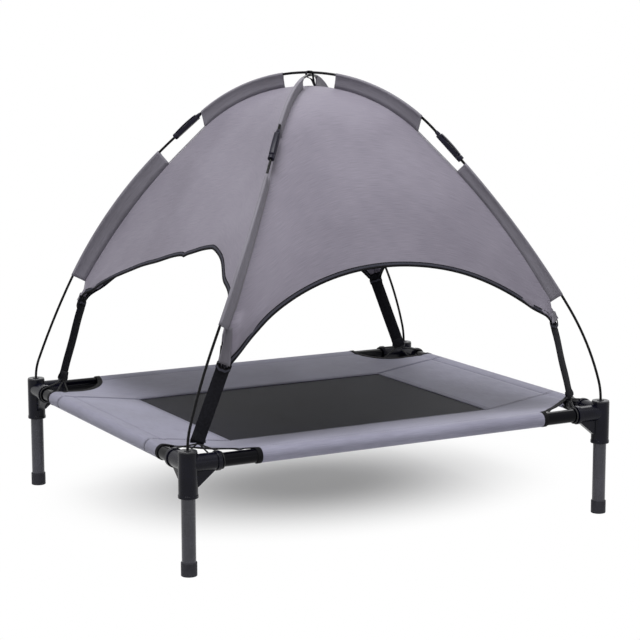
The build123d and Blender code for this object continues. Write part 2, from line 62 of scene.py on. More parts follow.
# ---- Studio ----
# A wide white floor, white light from all round and four soft round lamps: a large one high on the
# left, a weak one behind on the right, and two in front for glints. The camera stands to the front
# left of the bed, a little above the canopy, with a long lens.


def colour(code):
    """Linear colour of an sRGB hex code."""
    channels = [int(code[i : i + 2], 16) / 255 for i in (1, 3, 5)]
    return (*[c / 12.92 if c <= 0.04045 else ((c + 0.055) / 1.055) ** 2.4 for c in channels], 1)


def plug(made, sockets):
    """Sets sockets, by name or in order. Each takes a number, a colour, an output, or a node, of
    which it takes the first output."""
    named = sockets if isinstance(sockets, dict) else dict(enumerate(sockets))
    for name, value in named.items():
        if isinstance(value, bpy.types.Node):
            value = value.outputs[0]
        if isinstance(value, bpy.types.NodeSocket):
            made.id_data.links.new(value, made.inputs[name])
        else:
            made.inputs[name].default_value = value


def node(tree, kind, sockets=(), **settings):
    """Adds a node with its settings and sockets."""
    made = tree.nodes.new("ShaderNode" + kind)
    for name, value in settings.items():
        setattr(made, name, value)
    plug(made, sockets)
    return made


def new_material(name):
    """A material, its node tree and its shader."""
    material = bpy.data.materials.new(name)
    material.use_nodes = True
    return material, material.node_tree, material.node_tree.nodes["Principled BSDF"]


def placed(name, data):
    """Puts a mesh, a lamp or a camera into the scene."""
    made = bpy.data.objects.new(name, data)
    bpy.context.scene.collection.objects.link(made)
    return made


def seen_directly(tree):
    """1 for rays from the camera, or by way of gloss or glass, and 0 for light on its way."""
    ray = node(tree, "LightPath").outputs
    shiny = node(tree, "Math", (ray["Is Glossy Ray"], ray["Is Transmission Ray"]))
    return node(tree, "Math", (ray["Is Camera Ray"], shiny), use_clamp=True)


fill_light = 0.29
world = bpy.data.worlds.new("white studio")
bpy.context.scene.world = world
world.use_nodes = True
tree = world.node_tree
strength = node(tree, "MapRange", {"Value": seen_directly(tree), "To Min": fill_light})
plug(tree.nodes["Background"], {"Color": colour("#FFFFFF"), "Strength": strength})

# The floor also glows white for the camera: a quarter strength round the shade centre, full beyond
# 0.6 m. This is painted light that lightens and fades the bed's cast shadow.
floor_size = 40.0
shade_center = (0.06, 0.12)
shade_depth = 1.35
fade_start = 0.08
fade_end = 0.60
white_near = 0.25
bpy.ops.mesh.primitive_plane_add(size=floor_size)
floor = bpy.context.object
floor.name = "studio_floor"
material, tree, paper = new_material("white paper floor")
plug(paper, {"Base Color": colour("#D6D6D6"), "Roughness": 0.9, "Specular IOR Level": 0.1})
from_shade = node(
    tree,
    "Mapping",
    {
        "Vector": node(tree, "TexCoord").outputs["Object"],
        "Location": (-shade_center[0], -shade_center[1] * shade_depth, 0),
        "Scale": (1, shade_depth, 1),
    },
)
distance = node(tree, "VectorMath", (from_shade,), operation="LENGTH").outputs["Value"]
far = node(
    tree,
    "MapRange",
    {"Value": distance, "From Min": fade_start, "From Max": fade_end, "To Min": white_near},
    interpolation_type="SMOOTHSTEP",
)
glow_share = node(tree, "Math", (far, seen_directly(tree)), operation="MULTIPLY")
glow = node(tree, "Emission", {"Color": colour("#FFFFFF"), "Strength": 1.0})
shaded_floor = node(tree, "MixShader", (glow_share, paper, glow))
plug(tree.nodes["Material Output"], {"Surface": shaded_floor})
floor.data.materials.append(material)
floor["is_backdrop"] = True

for name, place, aim, size, power in (
    ("top_lamp", (-0.9, -0.75, 3.8), (0, 0, 0.4), 1.9, 112),
    ("rim_lamp", (2.4, 1.8, 2.6), (0, 0, 0.4), 1.6, 16),
    ("front_lamp", (0.9, -4.0, 1.2), (0, 0, 0.3), 1.2, 3),
    ("glint_lamp", (1.5, -1.5, 2.6), (0, -0.37, 0.2), 0.35, 9),
):
    lamp = bpy.data.lights.new(name, "AREA")
    lamp.shape = "DISK"
    lamp.size = size
    lamp.energy = power
    stand = placed(name, lamp)
    stand.location = place
    stand.rotation_euler = (Vector(aim) - Vector(place)).to_track_quat("-Z", "Y").to_euler()

camera = bpy.data.cameras.new("camera")
camera.sensor_width = 36
camera.lens = 111.1
tripod = placed("camera", camera)
tripod.location = (-1.830, -3.407, 1.010)
tripod.rotation_euler = [radians(turn) for turn in (80.5, 0.08, -28.55)]
bpy.context.scene.camera = tripod
bpy.context.scene.view_settings.view_transform = "Standard"

# ---- Steel tube: four legs and four rails ----
# Steel tube, 25.4 mm across and powder coated. The legs are a satin dark grey and the rails a
# gloss black, and both have the faint orange peel of baked powder.


def speckle(tree, size, detail=2.0):
    """A noise pattern on the object, with grains of this size in metres."""
    place = node(tree, "TexCoord").outputs["Object"]
    grains = node(tree, "TexNoise", {"Vector": place, "Scale": 1 / size, "Detail": detail})
    return grains.outputs["Fac"]


def patches(tree, size, low, high):
    """A value that drifts between two limits in patches of this size."""
    return node(tree, "MapRange", {"Value": speckle(tree, size), "To Min": low, "To Max": high})


def shade_between(tree, fac, low, high, start=0.3, end=0.7):
    """A colour between two hex colours, by a pattern."""
    spread = node(tree, "MapRange", {"Value": fac, "From Min": start, "From Max": end})
    return node(tree, "MixRGB", (spread, colour(low), colour(high)))


def grained(name, dark, light, gloss, shine, tone, patch, grain, depth, detail=2.0, strength=0.6):
    """A hard skin: two shades in slow clouds, gloss in patches, and a grain of this depth."""
    material, tree, shader = new_material(name)
    bumps = {"Height": speckle(tree, grain), "Distance": depth, "Strength": strength}
    plug(shader, {
        "Base Color": shade_between(tree, speckle(tree, tone, detail), dark, light),
        "Roughness": patches(tree, patch, *gloss),
        "Specular IOR Level": shine,
        "Normal": node(tree, "Bump", bumps),
    })
    return material


def powder_coat(name, dark, light, roughness, shine):
    """Baked powder: a low orange peel 1.5 mm across and a slow drift in tone and gloss."""
    gloss = (roughness - 0.05, roughness + 0.07)
    sizes = {"tone": 0.06, "patch": 0.02, "grain": 0.0015, "depth": 0.00003}
    return grained(name, dark, light, gloss, shine, **sizes)


def finish_nodes(prefix, material):
    """Gives every CAD node whose name starts like this one material."""
    for name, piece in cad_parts.items():
        if name.startswith(prefix):
            piece.data.materials.clear()
            piece.data.materials.append(material)


finish_nodes("leg_", powder_coat("satin grey powder coat", "#38383F", "#464650", 0.27, 0.42))
finish_nodes("rail_", powder_coat("gloss black powder coat", "#020207", "#06060D", 0.12, 0.09))

# ---- Corner connectors, pole caps and feet ----
# Black ABS mouldings with a fine spark grain that dulls them, and soft rubber feet pushed over
# the legs' lower ends. Handling leaves the plastic slightly polished in patches.


def moulded(name, dark, light, roughness, grain, depth, shine=0.18):
    """A moulding with a spark-eroded grain of this size and depth, and patches rubbed smoother."""
    gloss = (roughness - 0.1, roughness + 0.1)
    sizes = {"tone": 0.035, "patch": 0.012, "grain": grain, "depth": depth}
    return grained(name, dark, light, gloss, shine, **sizes, detail=4, strength=0.8)


# The connectors look dark and half dull. The caps face up into the lamps, so their colour is
# painted paler as painted light on their tops, and they shine more; the rubber is matt with a
# coarser grain.
black_abs = moulded("spark grained black ABS", "#060612", "#0F0F1D", 0.24, 0.0008, 0.00002, 0.17)
# The caps' paler colour is painted light on their upward faces.
lit_cap_abs = moulded("black ABS painted paler as top light", "#202024", "#2C2C31", 0.30, 0.0008, 0.00004, 0.4)
grey_rubber = moulded("moulded grey rubber", "#303036", "#3C3C42", 0.6, 0.0012, 0.0001)
finish_nodes("connector_", black_abs)
finish_nodes("socket_cap_", lit_cap_abs)
finish_nodes("foot_", grey_rubber)

# ---- Cover: four borders of coated oxford cloth ----
# Polyester cloth with a coating that gives it a low sheen. Each border wraps round its rail in a
# sleeve and is sewn down inside it; the front and back ones also wrap the ends of the side rails.
# They slope down to the mesh, and their seams run from its corners straight to the side rails.


def lengths_along(points):
    """The distance along a line at each of its points."""
    gone = [0.0]
    for a, b in zip(points, points[1:]):
        gone.append(gone[-1] + (b - a).length)
    return gone


def with_cut(name, mesh, wide, flat):
    """Places a mesh whose UV map is its flat cut in metres, by the row and column of a corner."""
    cut = mesh.uv_layers.new(name="cut")
    for loop in mesh.loops:
        cut.data[loop.index].uv = flat(*divmod(loop.vertex_index, wide))
    mesh.shade_smooth()
    return placed(name, mesh)


def woven(name, rows):
    """A sheet through rows of points."""
    wide = len(rows[0])
    faces = []
    for row in range(len(rows) - 1):
        for column in range(wide - 1):
            corner = row * wide + column
            faces.append((corner, corner + 1, corner + wide + 1, corner + wide))
    mesh = bpy.data.meshes.new(name)
    mesh.from_pydata([point for row in rows for point in row], [], faces)
    down = [0.0]
    for upper, lower in zip(rows, rows[1:]):
        down.append(down[-1] + sum((a - b).length for a, b in zip(upper, lower)) / wide)
    across = []
    for row in rows:
        along = lengths_along(row)
        across.append([distance - along[-1] / 2 for distance in along])
    return with_cut(name, mesh, wide, lambda row, column: (across[row][column], down[row]))


def modified(piece, kind, **settings):
    """Applies one modifier to a piece."""
    modifier = piece.modifiers.new(kind.lower(), kind)
    for name, value in settings.items():
        setattr(modifier, name, value)
    with bpy.context.temp_override(object=piece, active_object=piece, selected_objects=[piece]):
        bpy.ops.object.modifier_apply(modifier=modifier.name)


def joined(name, pieces):
    """Several meshes as one piece."""
    with bpy.context.temp_override(
        active_object=pieces[0], object=pieces[0], selected_editable_objects=pieces
    ):
        bpy.ops.object.join()
    pieces[0].name = name
    pieces[0].data.name = name
    return pieces[0]


def welded(piece):
    """Merges the edges that a piece's parts share."""
    modified(piece, "WELD", merge_threshold=0.00002)


def mirrored(piece, sx, sy):
    """Mirrors a back right piece to another side or corner, with its faces still outwards."""
    piece.data.transform(Matrix.Diagonal((sx, sy, 1, 1)))
    if sx * sy < 0:
        piece.data.flip_normals()


def threads(tree, pitch, wave):
    """The flat cut, and waves across and along it with a crest to each thread."""
    cut = node(tree, "UVMap", uv_map="cut")
    turns = node(tree, "VectorMath", {0: cut, "Scale": 2 * pi / pitch}, operation="SCALE")
    ways = node(tree, "SeparateXYZ", (turns,)).outputs
    return cut, *(node(tree, "Math", (ways[axis],), operation=wave) for axis in "XY")


def oxford_cloth(name, dark, light, sheen):
    """Plain weave under a coating that is uneven in slow patches, with thin lines of slub."""
    material, tree, shader = new_material(name)
    three_threads = 0.0018  # 0.6 mm threads are too fine to show, so one is drawn for three
    slubs_per_metre = (30, 900, 1)
    cut, weft, warp = threads(tree, three_threads, "SINE")
    drawn_out = node(tree, "Mapping", {"Vector": cut, "Scale": slubs_per_metre})
    slub = node(tree, "TexNoise", {"Vector": drawn_out, "Scale": 1.0}).outputs["Fac"]
    cloud = speckle(tree, 0.16, detail=3)
    tone = node(tree, "Math", (slub, cloud), operation="ADD")
    weave = node(tree, "Math", (weft, warp), operation="MULTIPLY")
    height = node(tree, "Math", (weave, slub), operation="ADD")
    plug(shader, {
        "Base Color": shade_between(tree, tone, dark, light, 0.75, 1.25),
        "Roughness": node(tree, "MapRange", {"Value": cloud, "To Min": 0.5, "To Max": 0.68}),
        "Specular IOR Level": 0.35,
        "Sheen Weight": sheen,
        "Sheen Roughness": 0.4,
        "Normal": node(tree, "Bump", {"Height": height, "Distance": 0.00012, "Strength": 0.5}),
    })
    return material


def span(start, end, steps):
    """Values from a start to an end, both of them included."""
    return [start + (end - start) * step / steps for step in range(steps + 1)]


def clothed(piece, material):
    """Gives a sheet its material, and its thickness below the surface."""
    piece.data.materials.append(material)
    modified(piece, "SOLIDIFY", thickness=cloth, offset=-1)


rail_low, rail_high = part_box("rail_front")
tube_radius = (rail_high[2] - rail_low[2]) / 2
rail_z = (rail_high[2] + rail_low[2]) / 2
rail_y = -(rail_high[1] + rail_low[1]) / 2
side_low, side_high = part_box("rail_right")
rail_x = (side_high[0] + side_low[0]) / 2
mesh_high = Vector(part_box("mesh_panel")[1])
cloth = 0.0009
sleeve_radius = tube_radius + 0.0003 + cloth
cover_top = rail_z + sleeve_radius
tape_width = 0.010
tape_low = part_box("corner_binding_back_right")[0]
cut_x = rail_x - tape_low[0] - tape_width
cut_y = rail_y - tape_low[1] - tape_width
hem_reach = 0.021
hem_drop = 0.0068
tuck_depth = 0.0015
tuck_width = 0.0042
slow_ripple = 0.0012
fine_ripple = 0.0006
lap = 0.006


def bell(distance, width):
    """1 in the middle, falling smoothly to 0 beyond this width."""
    return exp(-((distance / width) ** 2))


def cover_height(x, y):
    """The stretched sheet: level over the rails, tucked down beside them, and sunk at the mesh."""
    toward_side = max(abs(x) - mesh_high.x, 0) / (rail_x - mesh_high.x)
    toward_end = max(abs(y) - mesh_high.y, 0) / (rail_y - mesh_high.y)
    share = min((toward_side**3 + toward_end**3) ** (1 / 3), 1)
    ripple = noise.noise(Vector((x * 9, y * 9, 0))) * slow_ripple * sin(pi * share)
    ripple += noise.noise(Vector((x * 45, y * 45, 7))) * fine_ripple * share
    beside = min(abs(rail_x - abs(x) - hem_reach), abs(rail_y - abs(y) - hem_reach))
    tuck = tuck_depth * bell(beside, tuck_width)
    return mesh_high.z + (cover_top - mesh_high.z) * share + ripple - tuck


def round_the_rail():
    """Offsets from a rail's axis, out and up: over the tube, under it and back to the sheet."""
    inner = Vector((-hem_reach, sleeve_radius - hem_drop))
    tangent = atan2(inner.y, inner.x) + acos(sleeve_radius / inner.length)
    offsets = [
        (sleeve_radius * cos(turn), sleeve_radius * sin(turn))
        for turn in span(pi / 2, tangent - 2 * pi, 16)
    ]
    last = Vector(offsets[-1])
    return offsets + [tuple(last.lerp(inner, share)) for share in span(0, 1, 4)[1:]]


def cut_edge(y, curved):
    """Half of the cover's width at this distance from its middle line."""
    into = max(abs(y) - (rail_y - cut_y), 0) / cut_y
    return rail_x - cut_x * (sqrt(max(1 - (1 - into) ** 2, 0)) if curved else into)


cover_cloth = oxford_cloth("coated grey oxford cloth", "#858495", "#9B9AAD", 0.1)
straight_rows = span(mesh_high.y, rail_y - cut_y, 8)
curved_rows = [rail_y - cut_y * cos(turn) for turn in span(0, pi / 2, 36)[1:]]
columns = [sin(pi / 2 * share) for share in span(-1, 1, 96)]

for side, sign in (("front", -1), ("back", 1)):
    rows = []
    for y in straight_rows + curved_rows:
        half = cut_edge(y, side == "back")
        rows.append([Vector((share * half, y, cover_height(share * half, y))) for share in columns])
    half = rail_x - cut_x
    for out, up in round_the_rail()[1:]:
        rows.append([Vector((share * half, rail_y + out, rail_z + up)) for share in columns])
    parts = [woven("main", rows)]
    for end in (-1, 1):
        rows = []
        for out, up in round_the_rail():
            rows.append([Vector((end * (rail_x + out), y, rail_z + up)) for y in straight_rows])
        parts.append(woven("end", rows if end < 0 else [row[::-1] for row in rows]))
    border = joined(f"cover_{side}", parts)
    welded(border)
    mirrored(border, 1, sign)
    clothed(border, cover_cloth)
    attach(border, "bed")
    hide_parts(f"cover_border_{side}")

for side, sign in (("left", -1), ("right", 1)):
    ys = span(-mesh_high.y - lap, mesh_high.y + lap, 60)
    rows = [
        [Vector((x, y, cover_height(x, y) - cloth / 2)) for y in ys]
        for x in span(mesh_high.x, rail_x, 60)
    ]
    for out, up in round_the_rail()[1:]:
        rows.append([Vector((rail_x + out, y, rail_z + up)) for y in ys])
    border = woven(f"cover_{side}", rows)
    border.data.flip_normals()
    mirrored(border, sign, 1)
    clothed(border, cover_cloth)
    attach(border, "bed")
    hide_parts(f"cover_border_{side}")

# ---- Mesh panel ----
# Black PVC coated polyester mesh, sewn under the borders' folded edges. The open weave lets air
# through; it is drawn as a solid sheet of dark grey threads, with the holes between them painted
# near black as painted shade of the space under the bed.

mesh_cloth, tree, shader = new_material("PVC coated open mesh")
yarn = 0.0024
_, weft, warp = threads(tree, yarn, "COSINE")
crossing = node(tree, "Math", (weft, warp), operation="MAXIMUM")
yarn_tone = node(tree, "Math", (crossing, speckle(tree, 0.09, 5)), operation="MULTIPLY")
# The holes between the threads are painted near black: painted shade of the space under the bed.
plug(shader, {
    "Base Color": shade_between(tree, yarn_tone, "#04040C", "#1C1C28", -0.1, 0.55),
    "Roughness": 0.6,
    "Specular IOR Level": 0.11,
    "Normal": node(tree, "Bump", {"Height": crossing, "Distance": 0.0003, "Strength": 0.7}),
})

mesh_dip = 0.003
dip_turn = 1.4  # in radians, from the middle to the panel's edge
under = 0.010
below = 1.3 * cloth
rows = []
for y in span(-mesh_high.y - under, mesh_high.y + under, 36):
    row = []
    for x in span(-mesh_high.x - under, mesh_high.x + under, 48):
        dip = mesh_dip * cos(x / mesh_high.x * dip_turn) * cos(y / mesh_high.y * dip_turn)
        row.append(Vector((x, y, mesh_high.z - below - dip)))
    rows.append(row)
mesh_sheet = woven("mesh_sheet", rows)
clothed(mesh_sheet, mesh_cloth)
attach(mesh_sheet, "bed")
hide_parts("mesh_panel")

# ---- Tape round the corner cut-outs and the sleeves' ends ----
# Black woven polyester tape, folded over the raw edge and sewn down. It follows each cut-out
# from rail to rail and turns round both sleeves as a ring.

UP, RIGHT, BACK = Vector((0, 0, 1)), Vector((1, 0, 0)), Vector((0, 1, 0))
corners = {
    "front_left": (-1, -1),
    "front_right": (1, -1),
    "back_left": (-1, 1),
    "back_right": (1, 1),
}


def swept(name, outline, stations, closed=False):
    """A closed outline carried along stations of (origin, across, up). U runs along, V round."""
    count = len(outline)
    points = [
        origin + across * x + up * y for origin, across, up in stations for x, y in outline
    ]
    rings = len(stations)
    faces = []
    for ring in range(rings if closed else rings - 1):
        here, there = ring * count, (ring + 1) % rings * count
        for step in range(count):
            after = (step + 1) % count
            faces.append((here + step, here + after, there + after, there + step))
    if not closed:
        faces.append(tuple(range(count))[::-1])
        faces.append(tuple(range((rings - 1) * count, rings * count)))
    mesh = bpy.data.meshes.new(name)
    mesh.from_pydata(points, [], faces)
    shell = bmesh.new()
    shell.from_mesh(mesh)
    if shell.calc_volume(signed=True) < 0:
        mesh.flip_normals()
    shell.free()
    along = lengths_along([origin for origin, _, _ in stations])
    round_it = lengths_along([Vector(point) for point in outline])
    return with_cut(name, mesh, count, lambda ring, step: (along[ring], round_it[step]))


def rounded_strip(width, thickness):
    """Outline of a tape with round edges, centred on its path."""
    radius = thickness / 2
    flat = width / 2 - radius
    ends = ((flat, -pi / 2), (-flat, pi / 2))
    return [
        (x + radius * cos(start + turn), radius * sin(start + turn))
        for x, start in ends
        for turn in span(0, pi, 4)
    ]


def tape_weave(name, dark, light, rib, roughness):
    """Ribbed tape or webbing: ribs across it, with a faint twill along them."""
    material, tree, shader = new_material(name)
    ways = node(tree, "SeparateXYZ", (node(tree, "UVMap", uv_map="cut"),)).outputs
    along = node(tree, "Math", (ways["X"], 2 * pi / rib), operation="MULTIPLY")
    around = node(tree, "Math", (ways["Y"], pi / rib), operation="MULTIPLY")
    lean = node(tree, "Math", (along, around), operation="ADD")
    ribs = node(tree, "Math", (along,), operation="SINE")
    twill = node(tree, "Math", (lean,), operation="SINE")
    weave = node(tree, "Math", (ribs, twill), operation="ADD")
    plug(shader, {
        "Base Color": shade_between(tree, speckle(tree, 0.004, detail=4), dark, light),
        "Roughness": roughness,
        "Specular IOR Level": 0.1,
        "Normal": node(tree, "Bump", {"Height": weave, "Distance": 0.00015, "Strength": 0.6}),
    })
    return material


binding_tape = tape_weave("black woven edge tape", "#09090B", "#131316", 0.0012, 0.7)
tape_thickness = cloth + 0.0016
tape_outline = rounded_strip(tape_width, tape_thickness)
tape_overlap = 0.001
tape_stands = 0.0006
ring_middle = sleeve_radius + tape_stands - tape_thickness / 2


def taped_edge(curved):
    """Points along a cut-out from the side rail to the long rail, and the way out of the cover."""
    inset = tape_width / 2 - tape_overlap
    edge = []
    for share in span(0, 1, 40):
        turn = share * pi / 2
        if curved:
            x = -(cut_x + inset) * sin(turn)
            y = -(cut_y + inset) * cos(turn)
            out = Vector((-x / (cut_x + inset) ** 2, -y / (cut_y + inset) ** 2, 0)).normalized()
        else:
            out = Vector((cut_y, cut_x, 0)).normalized()
            x = -cut_x * share - out.x * inset
            y = cut_y * (share - 1) - out.y * inset
        edge.append((Vector((rail_x + x, rail_y + y, 0)), out))
    return edge


for corner, (sx, sy) in corners.items():
    stations = []
    for place, out in taped_edge(sy > 0):
        place.z = cover_height(place.x, place.y)
        inner = place - out * tape_width
        across = (out * tape_width + UP * (place.z - cover_height(inner.x, inner.y))).normalized()
        stations.append((place - UP * cloth / 2, across, across.cross(UP.cross(out))))
    parts = [swept("edge", tape_outline, stations)]
    for center, along in (
        (Vector((rail_x - cut_x - tape_width / 2 + tape_overlap, rail_y, rail_z)), RIGHT),
        (Vector((rail_x, rail_y - cut_y - tape_width / 2 + tape_overlap, rail_z)), BACK),
    ):
        ring = []
        for turn in span(0, 2 * pi, 40)[:-1]:
            out = Matrix.Rotation(turn, 3, along) @ UP
            ring.append((center + out * ring_middle, along, out))
        parts.append(swept("ring", tape_outline, ring, closed=True))
    tape = joined(f"corner_tape_{corner}", parts)
    tape.data.materials.append(binding_tape)
    mirrored(tape, sx, sy)
    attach(tape, "bed")
    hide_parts(f"corner_binding_{corner}")

# ---- Elastic loops ----
# A 3 mm shock cord round each rail, close to the connector's arm. Both run up to the plastic bar
# under the strap and hold the canopy down. The cord's braid is polyester with a slight sheen.


def headings(points):
    """The direction of a line at each of its points."""
    ends = zip([points[0], *points], [*points[1:], points[-1]])
    return [(after - before).normalized() for before, after in ends]


def cord_line(name, points, thickness):
    """A smooth round cord through points, as a mesh with a UV map along it."""
    curve = bpy.data.curves.new(name, "CURVE")
    curve.dimensions = "3D"
    spline = curve.splines.new("NURBS")
    spline.points.add(len(points) - 1)
    for target, point in zip(spline.points, points):
        target.co = (*point, 1)
    spline.order_u = 3
    spline.use_endpoint_u = True
    spline.resolution_u = 6
    line_object = bpy.data.objects.new(name, curve)
    line = bpy.data.meshes.new_from_object(line_object)
    route = [vertex.co.copy() for vertex in line.vertices]
    bpy.data.objects.remove(line_object)
    outline = [
        (thickness / 2 * cos(turn), thickness / 2 * sin(turn))
        for turn in span(0, 2 * pi, 10)[:-1]
    ]
    stations = []
    side = (route[1] - route[0]).orthogonal().normalized()
    for point, heading in zip(route, headings(route)):
        side = (side - heading * side.dot(heading)).normalized()
        stations.append((point, side, heading.cross(side)))
    return swept(name, outline, stations)


def braid(name, dark, light):
    """A fine braid: strands that cross the cord at a slant, each with a bump and a painted
    highlight in turn.
    """
    material, tree, shader = new_material(name)
    cut = node(tree, "UVMap", uv_map="cut")
    strands = node(tree, "Mapping", {"Vector": cut, "Rotation": (0, 0, 0.7)})
    wave = node(tree, "TexWave", {"Vector": strands, "Scale": 120.0, "Distortion": 1.0})
    plait = wave.outputs["Fac"]
    # The colour follows the plait as a painted highlight on each strand.
    plug(shader, {
        "Base Color": shade_between(tree, plait, dark, light),
        "Roughness": 0.55,
        "Specular IOR Level": 0.35,
        "Normal": node(tree, "Bump", {"Height": plait, "Distance": 0.0002}),
    })
    return material


shock_cord = braid("braided black shock cord", "#08080A", "#141417")
loop_thickness = 0.003
bar_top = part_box("strap_bars")[1][2]
collar_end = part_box("connector_back_right")[0]
loop_clear = 0.004
strap_foot = Vector((rail_x - 0.041, rail_y - 0.046, bar_top))
bar_height = 0.005
loop_radius = tube_radius + loop_thickness / 2 + 0.0002
loop_ease = 1.03
tip_turn = 1.1  # in radians, where the cord leaves the rail for the bar
loop_tip = strap_foot - UP * (bar_height + loop_thickness / 2)
for corner, (sx, sy) in corners.items():
    parts = []
    for center, along, inside in (
        (Vector((collar_end[0] - loop_clear, rail_y, rail_z)), RIGHT, -BACK),
        (Vector((rail_x, collar_end[1] - loop_clear, rail_z)), BACK, -RIGHT),
    ):
        toward_bar = loop_tip - center
        lift = atan2(toward_bar.dot(UP), toward_bar.dot(inside))
        points = [loop_tip + along * loop_thickness / 2]
        for turn in span(lift + tip_turn, lift + 2 * pi - tip_turn, 10):
            out = inside * cos(turn) + UP * sin(turn)
            slide = along * loop_thickness * (0.5 - (turn - lift) / (2 * pi))
            points.append(center + out * loop_radius * loop_ease + slide)
        points.append(loop_tip - along * loop_thickness / 2)
        parts.append(cord_line("loop", points, loop_thickness))
    loop = joined(f"shock_cord_{corner}", parts)
    loop.data.materials.append(shock_cord)
    mirrored(loop, sx, sy)
    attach(loop, "bed")
    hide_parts(f"elastic_loop_{corner}")

# ---- Canopy poles and their folding joints ----
# Two pairs of 5 mm black fibreglass rods that cross at the top. Each bends down through a folding
# joint to its cap: a satin black nylon body on two blackened rivets, with a bowed lid over it.

rod = moulded("satin pultruded fibreglass", "#050506", "#0B0B0D", 0.28, 0.0015, 0.00003, 0.12)
finish_nodes("pole_", rod)
black_nylon = moulded("satin black nylon", "#100F1D", "#1D1B2C", 0.36, 0.001, 0.00003, 0.16)
zinc, tree, shader = new_material("blackened zinc plate")
grain = speckle(tree, 0.0012, detail=3)
plug(shader, {
    "Base Color": shade_between(tree, grain, "#26262A", "#3A3A3F"),
    "Metallic": 1.0,
    "Roughness": 0.38,
})
finish_nodes("joint_rivets", zinc)

pole_radius = 0.0025
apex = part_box("pole_crown_upper")[1][2] - pole_radius
lower_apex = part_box("pole_crown_lower")[1][2] - pole_radius
crown_radius = 0.356
crown_turn = radians(47.8)
crown_reach = 0.270
upper_shift = 0.018
lower_shift = 0.009
joint_length = 0.072
knee_inset = 0.0615
knee_bow = 0.025
knee_height = 0.406
outward = Vector((cos(crown_turn), sin(crown_turn), 0))
diagonal = Vector((rail_x, rail_y, 0)).normalized()
knee = Vector((rail_x, rail_y, knee_height)) - diagonal * knee_inset + UP.cross(diagonal) * knee_bow
# Each pole's height at the crossing, and its length from there to the folding joint.
arches = {
    "front_left": (lower_apex, crown_reach - lower_shift),
    "back_right": (lower_apex, crown_reach + lower_shift),
    "back_left": (apex, crown_reach - upper_shift),
    "front_right": (apex, crown_reach + upper_shift),
}


def crown_station(height, length):
    """Point and heading on a back right crown pole, at a distance from the crown."""
    turn = length / crown_radius
    drop = crown_radius * (1 - cos(turn))
    point = outward * crown_radius * sin(turn) + UP * (height - drop)
    return point, outward * cos(turn) - UP * sin(turn)


def pole_station(height, reach, length):
    """The same on the whole pole: crown arc, straight joint, and the arc down to the knee."""
    if length <= reach:
        return crown_station(height, length)
    point, heading = crown_station(height, reach)
    if length <= reach + joint_length:
        return point + heading * (length - reach), heading
    start = point + heading * joint_length
    chord = knee - start
    side = (chord - heading * chord.dot(heading)).normalized()
    radius = chord.length_squared / (2 * chord.dot(side))
    turn = (length - reach - joint_length) / radius
    point = start + heading * radius * sin(turn) + side * radius * (1 - cos(turn))
    return point, heading * cos(turn) + side * sin(turn)


def pole_length(height, reach):
    """Length of a pole from the crown to the knee."""
    point, heading = crown_station(height, reach)
    chord = knee - point - heading * joint_length
    side = (chord - heading * chord.dot(heading)).normalized()
    radius = chord.length_squared / (2 * chord.dot(side))
    return reach + joint_length + radius * 2 * atan2(chord.dot(side), chord.dot(heading))


def inward(heading):
    """Direction square to the pole, down and towards the inside of the canopy."""
    return heading.cross(heading.cross(UP)).normalized()


# Body, collar and neck: sides, radius below and above, length, middle, and rounding of the edges.
# The body has four sides, and is turned so that they face outwards and across.
joint_parts = (
    (4, 0.0078, 0.0078, 0.060, 0, 0.0014),
    (28, 0.0064, 0.0064, 0.008, -0.032, 0.0009),
    (28, 0.0044, 0.0032, 0.008, 0.0335, 0.0004),
)
body_depth = 0.8
body_offset = 0.0012
lid_rest = -0.0046
lid_bow = 0.0012
lid_half = 0.027
lid_outline = rounded_strip(0.0095, 0.0026)
for corner, (height, reach) in arches.items():
    parts = []
    for sides, below, above, length, middle, width in joint_parts:
        bpy.ops.mesh.primitive_cone_add(
            vertices=sides, radius1=below, radius2=above, depth=length, location=(0, 0, middle)
        )
        piece = bpy.context.object
        piece.rotation_euler.z = pi / 4 if sides == 4 else 0
        with bpy.context.temp_override(selected_editable_objects=[piece], object=piece):
            bpy.ops.object.transform_apply(location=True, rotation=True, scale=True)
        modified(piece, "BEVEL", width=width, segments=3, limit_method="ANGLE", angle_limit=0.5)
        piece.data.shade_smooth()
        parts.append(piece)
    flattened = Matrix.Diagonal((1, body_depth, 1, 1))
    parts[0].data.transform(Matrix.Translation((0, body_offset, 0)) @ flattened)
    stations = []
    for z in span(-lid_half, lid_half, 14):
        bow = lid_bow * (1 - (z / lid_half) ** 2)
        stations.append((Vector((0, lid_rest - bow, z)), RIGHT, BACK))
    parts.insert(1, swept("lid", lid_outline, stations))
    joint = joined(f"folding_sleeve_{corner}", parts)
    point, heading = crown_station(height, reach)
    level = UP.cross(heading).normalized()
    turned = Matrix((level, level.cross(heading), -heading)).transposed().to_4x4()
    turned.translation = point + heading * joint_length / 2
    joint.data.transform(turned)
    joint.data.materials.append(black_nylon)
    mirrored(joint, *corners[corner])
    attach(joint, "canopy")
    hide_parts(f"folding_joint_{corner}")

# ---- Canopy: four panels of coated oxford cloth ----
# The panels meet at seams that hang a sleeve's width below the poles, and come together under the
# crossing. Each ends in an arch, and its two lower corners pull down into the straps.

sleeve_width = 0.026
strip_inset = 0.031
seam_end = pole_length(apex, crown_reach) - strip_inset
tab = Vector((rail_x - 0.089, rail_y - 0.030, 0.369))
last_point, last_heading = pole_station(apex, crown_reach, seam_end)
last_seam = last_point + inward(last_heading) * sleeve_width
seam_length = seam_end + (tab - last_seam).length
strap_turn = radians(-30)
strap_heading = (tab - strap_foot).normalized()
strap_across = Vector((cos(strap_turn), sin(strap_turn), 0))
strap_across = (strap_across - strap_heading * strap_across.dot(strap_heading)).normalized()
strap_face = strap_heading.cross(strap_across)
tab_end = tab.z - 0.003
tab_flap = 0.015
arch_center = 0.195
arch_tops = {"front": 0.5044, "back": 0.5044, "right": 0.516}
end_y = tab.y - tab_flap
